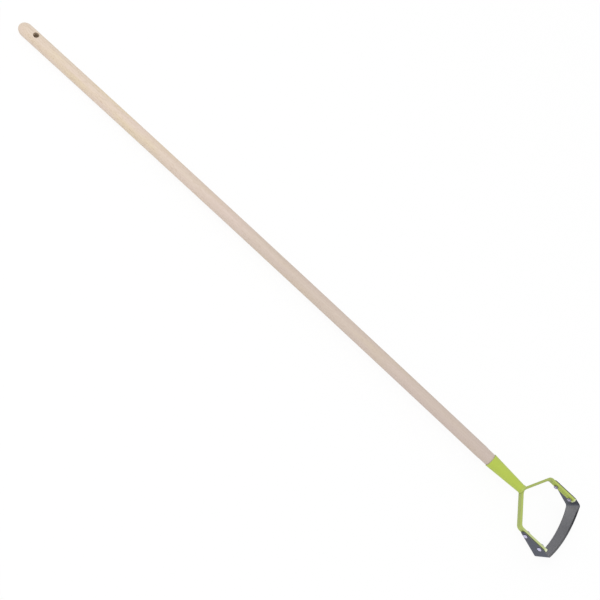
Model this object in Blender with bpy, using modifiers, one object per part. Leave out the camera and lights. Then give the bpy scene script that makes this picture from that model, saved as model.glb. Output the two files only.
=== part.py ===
"""A garden scraper: a long ash handle, a painted steel fork and a bowed stirrup blade bolted across it.

Every piece is built in the tool's own axes, in metres: +X runs along the handle from its butt end to
the blade, +Y runs across the head, and +Z points away from the ground, with the handle's axis on X.
The whole tool is then laid on the ground as it rests, on its butt end and the blade's back edge.
"""

import math

import bmesh
import bpy
import numpy as np
from mathutils import Matrix, Vector

# Clearance left between pieces that touch
GAP = 0.0003

# Ash handle, a pole that thins a little towards a turned neck in front of the socket
HANDLE_START = 0.001
HANDLE_LENGTH = 1.300
HANDLE_IN_SOCKET = 0.066
HANDLE_RADIUS = 0.01375
HANDLE_LOW_RADIUS = 0.01350
HANDLE_NECK_RADIUS = 0.0130
HANDLE_DOME = 0.017
NECK_LENGTH = 0.017
NECK_SLOPE = 0.005
HANDLE_LEAN = 0.0075
HANDLE_BOW = 0.0119
HANDLE_SIDES_RESOLUTION = 12
HANG_HOLE_X = 0.042
HANG_HOLE_RADIUS = 0.0057
HANG_HOLE_TURN = math.radians(5)

# Socket, a tapered tube
SOCKET_START = HANDLE_START + HANDLE_LENGTH - HANDLE_IN_SOCKET
SOCKET_LENGTH = 0.0828
SOCKET_MOUTH_RADIUS = 0.01410
SOCKET_END_RADIUS = 0.0088
SOCKET_WALL = 0.0015
SOCKET_LIP = 0.0001
SOCKET_LIP_LENGTH = 0.0025
SOCKET_GROOVE_X = 0.016
SOCKET_GROOVE_WIDTH = 0.003
SOCKET_GROOVE_DEPTH = 0.00025

# Screw that holds the handle in the socket
SCREW_X = 0.030
SCREW_RADIUS = 0.00175
SCREW_LENGTH = 0.016
SCREW_HEAD_RADIUS = 0.0035
SCREW_HEAD_HEIGHT = 0.0022

# Fork, one flat bar bent into a Y whose arms lie beside the blade's tabs
HEAD_DROP = 0.003
BAR_WIDTH = 0.012
BAR_THICKNESS = 0.005
BAR_EDGE = 0.0007
FORK_HALF_WIDTH = 0.0642
FORK_APEX_X = 1.3183
FORK_ELBOW_X = 1.3544
FORK_LEFT_TIP_X = 1.4188
FORK_RIGHT_TIP_X = 1.4216
FORK_CROTCH_RADIUS = 0.016
FORK_ELBOW_RADIUS = 0.009
ARM_CORNER = 0.001
ARM_CUT_BACK = 0.0014
ARM_CUT_HEIGHT = 0.004

# Weld that closes the socket's small end and runs over the top of the fork's bend
WELD_LENGTH = 0.0024
WELD_RADIUS = 0.0097
WELD_DOME = 0.0052

# Stirrup blade, one bent strip that is narrowest at the middle of its band
STRIP_WIDTH = 0.0328
STRIP_THICKNESS = 0.0020
BLADE_TILT = math.radians(21)
BAND_SAG = 0.0137
BAND_FRONT_DIP = 0.004
BAND_BACK_BULGE = 0.0018
FOLD_RADIUS = 0.006
FOLD_FROM_BOLT = 0.0574
STRIP_BELOW_BOLT = 0.0132
TAB_END_FROM_BOLT = 0.0102
TAB_END_BELOW_BOLT = 0.0066
TAB_EDGE_FROM_BOLT = 0.0045
TAB_CORNER = 0.0018
TAB_DEBURR = 0.0004
GRIND_WIDTH = 0.0030
GRIND_EDGE = 0.0006
GRIND_RUN_OUT = 0.012

# Square-necked M5 bolts with low domed heads, and their nuts
BOLT_1_X = 1.3740
BOLT_DROP = 0.0043
BOLT_SPACING = 0.036
BOLT_RADIUS = 0.0024
BOLT_HOLE_RADIUS = 0.00275
BOLT_LENGTH = 0.0120
BOLT_HEAD_RADIUS = 0.0044
BOLT_HEAD_HEIGHT = 0.0024
BOLT_NECK_WIDTH = 0.0050
BOLT_NECK_LENGTH = 0.0022
TAB_HOLE_WIDTH = 0.0056
NUT_ACROSS_FLATS = 0.008
NUT_HEIGHT = 0.0027
NUT_EDGE = 0.0003
NUT_TURN = math.radians(30)
THREAD_CHAMFER = 0.0004

TURN_STEPS = 32
SMALL_STEPS = 20
ARC_STEPS = 7
BAND_STEPS = 24


# Scene and materials


def clear_scene():
    for obj in list(bpy.data.objects):
        bpy.data.objects.remove(obj, do_unlink=True)


def new_collection(name):
    made = bpy.data.collections.new(name)
    bpy.context.scene.collection.children.link(made)
    return made


def srgb_to_linear(value):
    """One channel of a display colour, from 0 to 1, as linear light."""
    return value / 12.92 if value <= 0.04045 else ((value + 0.055) / 1.055) ** 2.4


def finish(name, hex_colour, roughness, metallic):
    """A plain material of one colour, written as six hexadecimal digits."""
    channels = [int(hex_colour[i : i + 2], 16) / 255 for i in (0, 2, 4)]
    material = bpy.data.materials.new(name)
    material.use_nodes = True
    shader = material.node_tree.nodes["Principled BSDF"]
    shader.inputs["Base Color"].default_value = (*map(srgb_to_linear, channels), 1.0)
    shader.inputs["Roughness"].default_value = roughness
    shader.inputs["Metallic"].default_value = metallic
    material.diffuse_color = shader.inputs["Base Color"].default_value
    return material


def add_piece(name, mesh, material, parent):
    """A visible sub-part, in the scraper's collection and under the tool's empty."""
    piece = bpy.data.objects.new(name, mesh)
    SCRAPER.objects.link(piece)
    piece.parent = parent
    if not mesh.materials:
        mesh.materials.append(material)
    return piece


def add_cutter(name, mesh, parent):
    """A helper shape that only cuts or joins, drawn as wire and never rendered."""
    cutter = bpy.data.objects.new(name, mesh)
    CUTTERS.objects.link(cutter)
    cutter.parent = parent
    cutter.hide_render = True
    cutter.display_type = "WIRE"
    return cutter


def combine(piece, other, operation):
    modifier = piece.modifiers.new(f"{operation.lower()} {other.name}", "BOOLEAN")
    modifier.operation = operation
    modifier.object = other
    modifier.solver = "EXACT"


def soften(piece, width):
    """A small chamfer along the piece's sharp edges."""
    modifier = piece.modifiers.new("edges", "BEVEL")
    modifier.width = width
    modifier.segments = 1
    modifier.limit_method = "ANGLE"


def evaluated_mesh(piece):
    """The piece's mesh with its modifiers applied."""
    graph = bpy.context.evaluated_depsgraph_get()
    return bpy.data.meshes.new_from_object(piece.evaluated_get(graph))


def shade_round(mesh):
    mesh.shade_smooth()
    mesh.set_sharp_from_angle(angle=math.radians(35))


# Shapes


def mesh_from(name, make):
    """A mesh made by one bmesh operator call."""
    shape = bmesh.new()
    make(shape)
    mesh = bpy.data.meshes.new(name)
    shape.to_mesh(mesh)
    shape.free()
    return mesh


def prism_mesh(name, radius, height, sides):
    """A prism about Z, with its base on the origin. Its radius runs to its corners."""
    return mesh_from(
        name,
        lambda shape: bmesh.ops.create_cone(
            shape,
            cap_ends=True,
            segments=sides,
            radius1=radius,
            radius2=radius,
            depth=height,
            matrix=Matrix.Translation((0, 0, height / 2)),
        ),
    )


def profile_mesh(name, profile, closed):
    """A chain of edges at +X, from (radius, height) pairs, ready for a Screw modifier."""
    mesh = bpy.data.meshes.new(name)
    edges = [(i, i + 1) for i in range(len(profile) - 1)]
    if closed:
        edges.append((len(profile) - 1, 0))
    mesh.from_pydata([(radius, 0, height) for radius, height in profile], edges, [])
    return mesh


def domed_head(radius, height, seat):
    """(radius, height) pairs from the crown of a low round head down to its rim, on a seat."""
    profile = [(0, seat + height)]
    for angle in np.radians((70, 50, 30, 12)):
        profile.append((radius * math.cos(angle), seat + height * (0.3 + 0.7 * math.sin(angle))))
    return profile + [(radius, seat + height / 5), (radius, seat)]


def turn(piece, steps):
    """Turns the piece's profile a full circle about its own Z axis."""
    modifier = piece.modifiers.new("turn", "SCREW")
    modifier.axis = "Z"
    modifier.angle = math.tau
    modifier.steps = modifier.render_steps = steps
    modifier.use_merge_vertices = True
    modifier.merge_threshold = 0.00001
    modifier.use_smooth_shade = True


def loft_mesh(name, sections):
    """A closed skin over rings of the same number of points, with a flat cap at each end."""
    rings, points = len(sections), len(sections[0])
    vertices = [tuple(point) for ring in sections for point in ring]
    faces = []
    for i in range(rings - 1):
        for j in range(points):
            k = (j + 1) % points
            faces.append((i * points + j, i * points + k, (i + 1) * points + k, (i + 1) * points + j))
    faces.append(tuple(range(points)))
    faces.append(tuple(range((rings - 1) * points, rings * points)))
    mesh = bpy.data.meshes.new(name)
    mesh.from_pydata(vertices, [], faces)
    shape = bmesh.new()
    shape.from_mesh(mesh)
    bmesh.ops.recalc_face_normals(shape, faces=shape.faces)
    shape.to_mesh(mesh)
    shape.free()
    shade_round(mesh)
    return mesh


def rounded_path(corners, radii, steps):
    """Points along a flat polyline whose corners are arcs of the given radii, with a normal at each.

    A normal points to the left of the way along the path. At a corner of radius 0 it is made longer,
    so that an offset along it keeps its distance from both sides.
    """
    corners = [np.array(corner, float) for corner in corners]
    headings = [(b - a) / np.linalg.norm(b - a) for a, b in zip(corners, corners[1:])]
    left = [np.array((-h[1], h[0])) for h in headings]
    points, normals = [corners[0]], [left[0]]
    for i, radius in enumerate(radii):
        before, after = headings[i], headings[i + 1]
        turning = math.atan2(before[0] * after[1] - before[1] * after[0], before @ after)
        if radius == 0:
            middle = left[i] + left[i + 1]
            points.append(corners[i + 1])
            normals.append(middle / (middle @ left[i]))
            continue
        start = corners[i + 1] - before * radius * math.tan(abs(turning) / 2)
        side = math.copysign(1, turning)
        centre = start + left[i] * side * radius
        for angle in np.linspace(0, turning, steps):
            cosine, sine = math.cos(angle), math.sin(angle)
            normal = np.array((left[i] @ (cosine, -sine), left[i] @ (sine, cosine)))
            points.append(centre - normal * side * radius)
            normals.append(normal)
    return points + [corners[-1]], normals + [left[-1]]


# Handle


def handle_side_offset(x):
    """How far the handle's centre stands to +Y at x: it leaves the socket leaning and bows back."""
    share = max(0.0, (SOCKET_START - x) / SOCKET_START)
    return HANDLE_LEAN * share - HANDLE_BOW * share**2


def socket_radius(x):
    """The socket's outer radius, x metres from its mouth."""
    return SOCKET_MOUTH_RADIUS + (SOCKET_END_RADIUS - SOCKET_MOUTH_RADIUS) * x / SOCKET_LENGTH


def handle_stations():
    """(x, radius) along the handle: the dome, the long pole, the neck and the cone in the socket."""
    stations = []
    for angle in np.radians(np.linspace(8, 90, 9)):
        x = HANDLE_START + HANDLE_DOME * (1 - math.cos(angle))
        stations.append((x, HANDLE_RADIUS * math.sin(angle)))
    neck = SOCKET_START - NECK_LENGTH
    for share in np.linspace(0, 1, 14)[1:]:
        x = stations[8][0] + (neck - NECK_SLOPE - stations[8][0]) * share
        stations.append((x, HANDLE_RADIUS + (HANDLE_LOW_RADIUS - HANDLE_RADIUS) * share**3))
    for x in (neck, SOCKET_START - NECK_SLOPE):
        stations.append((x, HANDLE_NECK_RADIUS))
    for x in (-GAP, HANDLE_IN_SOCKET):
        stations.append((SOCKET_START + x, socket_radius(x) - SOCKET_WALL - GAP))
    return stations


def make_handle(tool, wood):
    curve = bpy.data.curves.new("handle_path", "CURVE")
    curve.dimensions = "3D"
    curve.bevel_depth = 1.0
    curve.bevel_resolution = HANDLE_SIDES_RESOLUTION
    curve.use_fill_caps = True
    stations = handle_stations()
    spline = curve.splines.new("POLY")
    spline.points.add(len(stations) - 1)
    for point, (x, radius) in zip(spline.points, stations):
        point.co = (x, handle_side_offset(x), 0, 1)
        point.radius = radius
    swept = bpy.data.objects.new("handle_sweep", curve)
    SCRAPER.objects.link(swept)
    bpy.context.view_layer.update()
    mesh = evaluated_mesh(swept)
    bpy.data.objects.remove(swept)
    shape = bmesh.new()
    shape.from_mesh(mesh)
    bmesh.ops.remove_doubles(shape, verts=shape.verts, dist=1e-6)
    bmesh.ops.recalc_face_normals(shape, faces=shape.faces)
    shape.to_mesh(mesh)
    shape.free()
    shade_round(mesh)
    handle = add_piece("handle", mesh, wood, tool)

    reach = 4 * HANDLE_RADIUS
    hole = add_cutter("hang_hole", prism_mesh("hang_hole", HANG_HOLE_RADIUS, reach, SMALL_STEPS), tool)
    turned = Matrix.Rotation(HANG_HOLE_TURN, 4, "X")
    centre = Vector((HANG_HOLE_X, handle_side_offset(HANG_HOLE_X), 0))
    hole.matrix_basis = Matrix.Translation(centre) @ turned @ Matrix.Translation((0, 0, -reach / 2))
    combine(handle, hole, "DIFFERENCE")
    return handle


# Socket and its screw


def along_tool(x, z=0.0):
    """Places a piece turned about its own Z so that its axis lies along the tool, at x."""
    return Matrix.Translation((x, 0, z)) @ Matrix.Rotation(math.pi / 2, 4, "Y")


def make_socket(tool, paint):
    half_groove = SOCKET_GROOVE_WIDTH / 2
    outside = [
        (SOCKET_LENGTH, 0),
        (SOCKET_GROOVE_X + half_groove, 0),
        (SOCKET_GROOVE_X + half_groove / 2, -SOCKET_GROOVE_DEPTH),
        (SOCKET_GROOVE_X - half_groove / 2, -SOCKET_GROOVE_DEPTH),
        (SOCKET_GROOVE_X - half_groove, 0),
        (2 * SOCKET_LIP_LENGTH, 0),
        (SOCKET_LIP_LENGTH, SOCKET_LIP),
        (0.0004, SOCKET_LIP),
        (0, SOCKET_LIP / 2),
    ]
    profile = [(socket_radius(x) + extra, x) for x, extra in outside]
    profile += [(socket_radius(x) - SOCKET_WALL, x) for x in (0, SOCKET_LENGTH)]
    socket = add_piece("socket", profile_mesh("socket", profile, closed=True), paint, tool)
    socket.matrix_basis = along_tool(SOCKET_START)
    turn(socket, TURN_STEPS)
    return socket


def make_screw(tool, steel, handle, socket):
    """A pan-head screw from below, through the socket's wall into the wood."""
    seat = socket_radius(SCREW_X) + GAP
    tip = seat - SCREW_LENGTH
    profile = domed_head(SCREW_HEAD_RADIUS, SCREW_HEAD_HEIGHT, seat)
    profile += [(SCREW_RADIUS, seat), (SCREW_RADIUS, tip + 2 * SCREW_RADIUS), (0, tip)]
    below = Matrix.Translation((SOCKET_START + SCREW_X, 0, 0)) @ Matrix.Rotation(math.pi, 4, "X")
    screw = add_piece("handle_screw", profile_mesh("handle_screw", profile, closed=False), steel, tool)
    screw.matrix_basis = below
    turn(screw, SMALL_STEPS)
    bore = add_cutter(
        "screw_hole", prism_mesh("screw_hole", SCREW_RADIUS + GAP, SCREW_LENGTH + 0.003, SMALL_STEPS), tool
    )
    bore.matrix_basis = below @ Matrix.Translation((0, 0, tip - GAP))
    combine(handle, bore, "DIFFERENCE")
    combine(socket, bore, "DIFFERENCE")
    return screw


# Fork and weld


def bar_section(point, normal, low, high):
    """Eight points round the flat bar, square to its path, with small chamfers along its edges."""
    half = BAR_THICKNESS / 2
    edge = min(BAR_EDGE, (high - low) / 3)
    ring = [
        (half, high - edge),
        (half - edge, high),
        (edge - half, high),
        (-half, high - edge),
        (-half, low + edge),
        (edge - half, low),
        (half - edge, low),
        (half, low + edge),
    ]
    return [(*(point + normal * out), up) for out, up in ring]


def corner_cut(reach, height, from_tip):
    """How much an elliptical corner takes off an arm's edge, at a distance from its tip."""
    share = max(0.0, 1 - from_tip / reach)
    return height * (1 - math.sqrt(1 - share**2))


def make_fork(tool, paint):
    corners = [
        (FORK_RIGHT_TIP_X, -FORK_HALF_WIDTH),
        (FORK_ELBOW_X, -FORK_HALF_WIDTH),
        (FORK_APEX_X, 0),
        (FORK_ELBOW_X, FORK_HALF_WIDTH),
        (FORK_LEFT_TIP_X, FORK_HALF_WIDTH),
    ]
    radii = [FORK_ELBOW_RADIUS, FORK_CROTCH_RADIUS, FORK_ELBOW_RADIUS]
    points, normals = rounded_path(corners, radii, ARC_STEPS)
    half_width = BAR_WIDTH / 2
    sections = [bar_section(p, n, -half_width, half_width) for p, n in zip(points[1:-1], normals[1:-1])]
    for angle in np.radians((90, 70, 52, 37, 24, 12, 0)):
        from_tip = ARM_CUT_BACK * (1 - math.cos(angle))
        low = corner_cut(ARM_CUT_BACK, ARM_CUT_HEIGHT, from_tip) - half_width
        high = half_width - corner_cut(ARM_CORNER, ARM_CORNER, from_tip)
        right = np.array((FORK_RIGHT_TIP_X - from_tip, -FORK_HALF_WIDTH))
        left = np.array((FORK_LEFT_TIP_X - from_tip, FORK_HALF_WIDTH))
        sections.insert(0, bar_section(right, normals[0], low, high))
        sections.append(bar_section(left, normals[-1], low, high))
    fork = add_piece("fork", loft_mesh("fork", sections), paint, tool)
    fork.location = (0, 0, -HEAD_DROP)
    return fork


def make_weld(tool, steel):
    """A fillet and a low dome on the socket's small end, cut to follow the fork's bend."""
    end = SOCKET_LENGTH
    start = end - WELD_LENGTH
    profile = [
        (0, end + GAP),
        (socket_radius(end) + GAP, end + GAP),
        (socket_radius(start) + GAP, start),
        (socket_radius(start) + GAP + 0.0002, start),
        (WELD_RADIUS - 0.0004, end - 0.0009),
    ]
    for angle in np.radians((0, 18, 36, 54, 72)):
        profile.append((WELD_RADIUS * math.cos(angle), end + WELD_DOME * math.sin(angle)))
    profile.append((0, end + WELD_DOME))
    weld = add_piece("fork_weld", profile_mesh("fork_weld", profile, closed=False), steel, tool)
    weld.matrix_basis = along_tool(SOCKET_START)
    turn(weld, TURN_STEPS)

    slope = math.atan2(FORK_HALF_WIDTH, FORK_ELBOW_X - FORK_APEX_X)
    centre = FORK_APEX_X + FORK_CROTCH_RADIUS / math.sin(slope)
    back = FORK_CROTCH_RADIUS + BAR_THICKNESS / 2 + GAP
    outline = []
    for angle in np.linspace(slope - math.pi / 2, math.pi / 2 - slope, 9):
        outline.append((centre - back * math.cos(angle), back * math.sin(angle)))
    width = 2 * WELD_RADIUS
    for side in (1, -1):
        last = outline[-1] if side == 1 else outline[0]
        run = width - abs(last[1])
        far = (last[0] + run / math.tan(slope), side * width)
        outline.insert(len(outline) if side == 1 else 0, far)
    outline += [(centre + width, width), (centre + width, -width)]
    bar_top = BAR_WIDTH / 2 - HEAD_DROP + GAP
    sections = [[(x, y, z) for x, y in outline] for z in (-width, bar_top)]
    bar_back = add_cutter("fork_back", loft_mesh("fork_back", sections), tool)
    combine(weld, bar_back, "DIFFERENCE")
    return weld


# Blade


def strip_section(point, normal, low, high, grind, edge):
    """Six points round the strip: a flat outer face, and an inner face ground down to both edges."""
    half = STRIP_THICKNESS / 2
    ring = [
        (-half, low),
        (-half, high),
        (edge - half, high),
        (half, high - grind),
        (half, low + grind),
        (edge - half, low),
    ]
    return [(*(point + normal * inwards), up) for inwards, up in ring]


def tab_edges(x):
    """The strip's lower and upper edges on a tab, x metres past the first bolt."""
    share = min(1.0, (x + TAB_END_FROM_BOLT) / (FOLD_FROM_BOLT + TAB_END_FROM_BOLT))
    low = -TAB_END_BELOW_BOLT - (STRIP_BELOW_BOLT - TAB_END_BELOW_BOLT) * share
    along_arm = x * math.tan(BLADE_TILT) + TAB_EDGE_FROM_BOLT / math.cos(BLADE_TILT)
    high = min(STRIP_WIDTH - STRIP_BELOW_BOLT, along_arm)
    corner = max(0.0, TAB_CORNER - TAB_END_FROM_BOLT - x)
    return low + corner, high - corner


def band_edges(share):
    """The strip's lower and upper edges on the band, at a share of its half width from the middle."""
    from_ends = 1 - share**2
    low = -STRIP_BELOW_BOLT - BAND_BACK_BULGE * from_ends
    return low, STRIP_WIDTH - STRIP_BELOW_BOLT - BAND_FRONT_DIP * from_ends


def make_blade(tool, steel):
    """The stirrup, in its own axes: +X along the tabs from the first bolt, +Z up the strip's width."""
    middle = FORK_HALF_WIDTH + BAR_THICKNESS / 2 + GAP + STRIP_THICKNESS / 2
    radius = (middle**2 + BAND_SAG**2) / (2 * BAND_SAG)
    spread = math.asin(middle / radius)
    centre = FOLD_FROM_BOLT + BAND_SAG - radius
    shoulder = (STRIP_WIDTH - STRIP_BELOW_BOLT) - TAB_EDGE_FROM_BOLT / math.cos(BLADE_TILT)
    shoulder /= math.tan(BLADE_TILT)
    tab_stations = [-TAB_END_FROM_BOLT, TAB_CORNER - TAB_END_FROM_BOLT, shoulder]

    band = []
    for angle in np.linspace(-spread, spread, BAND_STEPS + 1):
        band.append((centre + radius * math.cos(angle), radius * math.sin(angle)))
    corners = [(x, -middle) for x in tab_stations] + band + [(x, middle) for x in reversed(tab_stations)]
    radii = [0.0] * (len(corners) - 2)
    fold_at = len(tab_stations) - 1
    radii[fold_at] = radii[-1 - fold_at] = FOLD_RADIUS
    points, normals = rounded_path(corners, radii, ARC_STEPS)

    sections = []
    for point, normal in zip(points, normals):
        from_fold = middle - FOLD_RADIUS / 2 - abs(point[1])
        if from_fold > 0:
            low, high = band_edges(point[1] / middle)
        else:
            low, high = tab_edges(min(point[0], FOLD_FROM_BOLT))
        ground = min(1.0, max(0.0, from_fold / GRIND_RUN_OUT))
        grind = TAB_DEBURR + (GRIND_WIDTH - TAB_DEBURR) * ground
        dull = STRIP_THICKNESS - TAB_DEBURR
        sections.append(strip_section(point, normal, low, high, grind, dull + (GRIND_EDGE - dull) * ground))
    blade = add_piece("blade", loft_mesh("blade", sections), steel, tool)
    blade.location = (BOLT_1_X, 0, -HEAD_DROP)
    blade.rotation_euler = (0, BLADE_TILT, 0)
    return blade


# Fasteners


def square_mesh(name, width, height):
    """A square bar about Z, with its base on the origin."""
    mesh = prism_mesh(name, width / math.sqrt(2), height, 4)
    mesh.transform(Matrix.Rotation(math.pi / 4, 4, "Z"))
    return mesh


def bolt_mesh():
    """A bolt about Z with its head's underside on the origin: the dome up, neck and shank down."""
    profile = domed_head(BOLT_HEAD_RADIUS, BOLT_HEAD_HEIGHT, 0)
    profile += [
        (BOLT_RADIUS, 0),
        (BOLT_RADIUS, THREAD_CHAMFER - BOLT_LENGTH),
        (BOLT_RADIUS - THREAD_CHAMFER, -BOLT_LENGTH),
        (0, -BOLT_LENGTH),
    ]
    turned = add_cutter("turned_bolt", profile_mesh("turned_bolt", profile, closed=False), None)
    turn(turned, SMALL_STEPS)
    into_head = BOLT_HEAD_HEIGHT / 4
    neck = add_cutter("neck", square_mesh("neck", BOLT_NECK_WIDTH, BOLT_NECK_LENGTH + into_head), None)
    neck.location = (0, 0, -BOLT_NECK_LENGTH)
    combine(turned, neck, "UNION")
    bpy.context.view_layer.update()
    return evaluated_mesh(turned)


def nut_mesh():
    """A hexagon nut about Z, with its inner face on the origin."""
    across_corners = NUT_ACROSS_FLATS / math.cos(math.pi / 6)
    hexagon = add_cutter("hexagon", prism_mesh("hexagon", across_corners / 2, NUT_HEIGHT, 6), None)
    hexagon.data.transform(Matrix.Rotation(NUT_TURN, 4, "Z"))
    soften(hexagon, NUT_EDGE)
    bore_length = 4 * NUT_HEIGHT
    bore = add_cutter("nut_bore", prism_mesh("nut_bore", BOLT_HOLE_RADIUS, bore_length, SMALL_STEPS), None)
    bore.location = (0, 0, -bore_length / 2)
    combine(hexagon, bore, "DIFFERENCE")
    bpy.context.view_layer.update()
    return evaluated_mesh(hexagon)


def make_fasteners(tool, zinc, fork, blade):
    """Two bolts on each side: the head on the tab, its neck in the tab, and a nut inside the fork."""
    outer_face = FORK_HALF_WIDTH + BAR_THICKNESS / 2 + GAP + STRIP_THICKNESS + GAP
    nut_at = FORK_HALF_WIDTH - BAR_THICKNESS / 2 - GAP - NUT_HEIGHT
    kinds = (("bolt", bolt_mesh(), outer_face), ("nut", nut_mesh(), nut_at))
    for _, mesh, _ in kinds:
        shade_round(mesh)
    reach = 4 * FORK_HALF_WIDTH
    for number in (1, 2):
        x = BOLT_1_X + (number - 1) * BOLT_SPACING
        across = Matrix.Translation((x, 0, -BOLT_DROP)) @ Matrix.Rotation(math.pi / 2, 4, "X")
        across = across @ Matrix.Translation((0, 0, -reach / 2))
        round_name, square_name = f"arm_hole_{number}", f"tab_hole_{number}"
        round_hole = add_cutter(
            round_name, prism_mesh(round_name, BOLT_HOLE_RADIUS, reach, SMALL_STEPS), tool
        )
        square_hole = add_cutter(square_name, square_mesh(square_name, TAB_HOLE_WIDTH, reach), tool)
        round_hole.matrix_basis = square_hole.matrix_basis = across
        combine(fork, round_hole, "DIFFERENCE")
        combine(blade, square_hole, "DIFFERENCE")
        for side, outwards in (("left", 1), ("right", -1)):
            facing = Matrix.Translation((x, 0, -BOLT_DROP)) @ Matrix.Rotation(-outwards * math.pi / 2, 4, "X")
            for kind, mesh, distance in kinds:
                piece = add_piece(f"{kind}_{number}_{side}", mesh, zinc, tool)
                piece.matrix_basis = facing @ Matrix.Translation((0, 0, distance))


# Resting place


def world_corners(piece):
    """The evaluated piece's vertices in world space."""
    graph = bpy.context.evaluated_depsgraph_get()
    evaluated = piece.evaluated_get(graph)
    mesh = evaluated.to_mesh()
    points = np.empty(len(mesh.vertices) * 3, np.float32)
    mesh.vertices.foreach_get("co", points)
    world = np.array(evaluated.matrix_world)
    evaluated.to_mesh_clear()
    return points.reshape(-1, 3) @ world[:3, :3].T + world[:3, 3]


def lay_on_ground(tool, handle, blade, pieces):
    """Tips the tool until butt end and blade touch the ground, then centres its box over the origin."""
    bpy.context.view_layer.update()
    butt = min(world_corners(handle), key=lambda p: p[2] + p[0] * 0.02)
    edge = min(world_corners(blade), key=lambda p: p[2])
    tool.rotation_euler = (0, -math.atan2(butt[2] - edge[2], edge[0] - butt[0]), 0)
    bpy.context.view_layer.update()
    corners = np.vstack([world_corners(piece) for piece in pieces])
    low, high = corners.min(axis=0), corners.max(axis=0)
    tool.location = (-(low[0] + high[0]) / 2, -(low[1] + high[1]) / 2, -low[2])
    bpy.context.view_layer.update()
    print("pitch", round(math.degrees(-tool.rotation_euler[1]), 3), "degrees")
    print("tool origin", [round(float(value), 6) for value in tool.location])
    print("size", [round(float(value), 4) for value in high - low])


clear_scene()
SCRAPER = new_collection("garden_scraper")
CUTTERS = new_collection("cutters")
TOOL = bpy.data.objects.new("tool_frame", None)
SCRAPER.objects.link(TOOL)

ASH = finish("ash wood", "D8C7B5", 0.55, 0.0)
LIME_PAINT = finish("lime enamel", "B8C84C", 0.35, 0.0)
BLADE_STEEL = finish("grey tempered steel", "69696E", 0.4, 0.8)
ZINC = finish("bright zinc plate", "C8C8DC", 0.3, 1.0)

HANDLE = make_handle(TOOL, ASH)
SOCKET = make_socket(TOOL, LIME_PAINT)
make_screw(TOOL, ZINC, HANDLE, SOCKET)
FORK = make_fork(TOOL, LIME_PAINT)
make_weld(TOOL, LIME_PAINT)
BLADE = make_blade(TOOL, BLADE_STEEL)
make_fasteners(TOOL, ZINC, FORK, BLADE)
PIECES = [piece for piece in SCRAPER.objects if piece.type == "MESH"]
lay_on_ground(TOOL, HANDLE, BLADE, PIECES)
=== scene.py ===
# %% [markdown]
# # A garden scraper, piece by piece
#
# The real tool is a bowed stirrup of hardened steel, bolted between the arms of a painted steel fork. The
# fork is welded to a tapered socket, and a long ash pole sits in the socket.
#
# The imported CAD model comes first, as a fixed frame: it says where each piece is. The cells after that
# replace its pieces one by one with finer surfaces and give each the finish of the real material.

import math

import bmesh
import bpy
import numpy as np
from mathutils import Matrix, Vector


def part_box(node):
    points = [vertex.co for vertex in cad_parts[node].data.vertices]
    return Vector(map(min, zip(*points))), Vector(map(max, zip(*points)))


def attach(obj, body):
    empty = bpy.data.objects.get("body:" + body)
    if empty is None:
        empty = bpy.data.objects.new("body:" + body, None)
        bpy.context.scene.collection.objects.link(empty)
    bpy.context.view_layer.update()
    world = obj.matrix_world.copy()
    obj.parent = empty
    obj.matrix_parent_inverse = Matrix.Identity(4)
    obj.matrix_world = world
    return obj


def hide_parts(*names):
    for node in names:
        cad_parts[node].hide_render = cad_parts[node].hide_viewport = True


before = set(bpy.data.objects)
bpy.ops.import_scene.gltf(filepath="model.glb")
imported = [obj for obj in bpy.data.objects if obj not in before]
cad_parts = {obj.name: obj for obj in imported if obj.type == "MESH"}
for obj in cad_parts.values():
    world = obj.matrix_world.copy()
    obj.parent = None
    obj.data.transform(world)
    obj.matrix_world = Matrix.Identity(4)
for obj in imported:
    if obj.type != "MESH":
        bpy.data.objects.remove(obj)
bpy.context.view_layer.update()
print("CAD nodes:", sorted(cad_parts))

# %% [markdown]
# ## The tool's own axes
#
# The tool rests on its butt end and on the back edge of its blade, so its long axis slopes up by about one
# degree. Every shape is easier to write down along that axis, in millimetres: x from the butt end to the
# blade, y across the head, z away from the ground. One function then turns and moves points into the frame.

# %% From the tool's axes to the frame
SLOPE = math.radians(1.175)
TOOL_ORIGIN = np.array((-0.724004, 0.0, 0.013378))
MILLIMETRE = 0.001


def xyz(x, y, z):
    """Points from their three coordinates, spread to one shape."""
    return np.stack(np.broadcast_arrays(x, y, z), axis=-1)


def place(points):
    """Tool millimetres to frame metres: scale, turn up by the slope about y, then move to the origin."""
    x, y, z = np.moveaxis(np.asarray(points, float) * MILLIMETRE, -1, 0)
    along = x * math.cos(SLOPE) - z * math.sin(SLOPE)
    up = x * math.sin(SLOPE) + z * math.cos(SLOPE)
    return xyz(along, y, up) + TOOL_ORIGIN


# The way back, as the settings of a mapping node: turn by the slope about y, then move
BACK_TURN = (0, SLOPE, 0)
BACK_MOVE = (
    -TOOL_ORIGIN[0] * math.cos(SLOPE) - TOOL_ORIGIN[2] * math.sin(SLOPE),
    0,
    TOOL_ORIGIN[0] * math.sin(SLOPE) - TOOL_ORIGIN[2] * math.cos(SLOPE),
)
print("butt end at", np.round(place((0, 0, 0)), 4).tolist(), "move back", np.round(BACK_MOVE, 4).tolist())

# %% [markdown]
# ## The camera
#
# The photograph looks down on the tool from 32 degrees off the vertical, from about two metres, with the
# handle running across the picture from the upper left to the lower right. The camera is built from three
# directions in the tool's axes, so it stays right if the tool's rest changes.

# %% Camera
VIEW_TILT = math.radians(32)
VIEW_ROLL = math.radians(42.95)
CAMERA_DISTANCE = 1967
LOOKS_AT = (756.5, 0, 0)
LOOKS_ASIDE = 24.4
MILLIMETRES_PER_PIXEL = 1.926
PICTURE_PIXELS = 600
SENSOR_WIDTH = 36
NEAREST_SEEN = 0.05


def new_object(name, data):
    """A new object in the scene, at the origin."""
    made = bpy.data.objects.new(name, data)
    bpy.context.scene.collection.objects.link(made)
    return made


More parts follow.
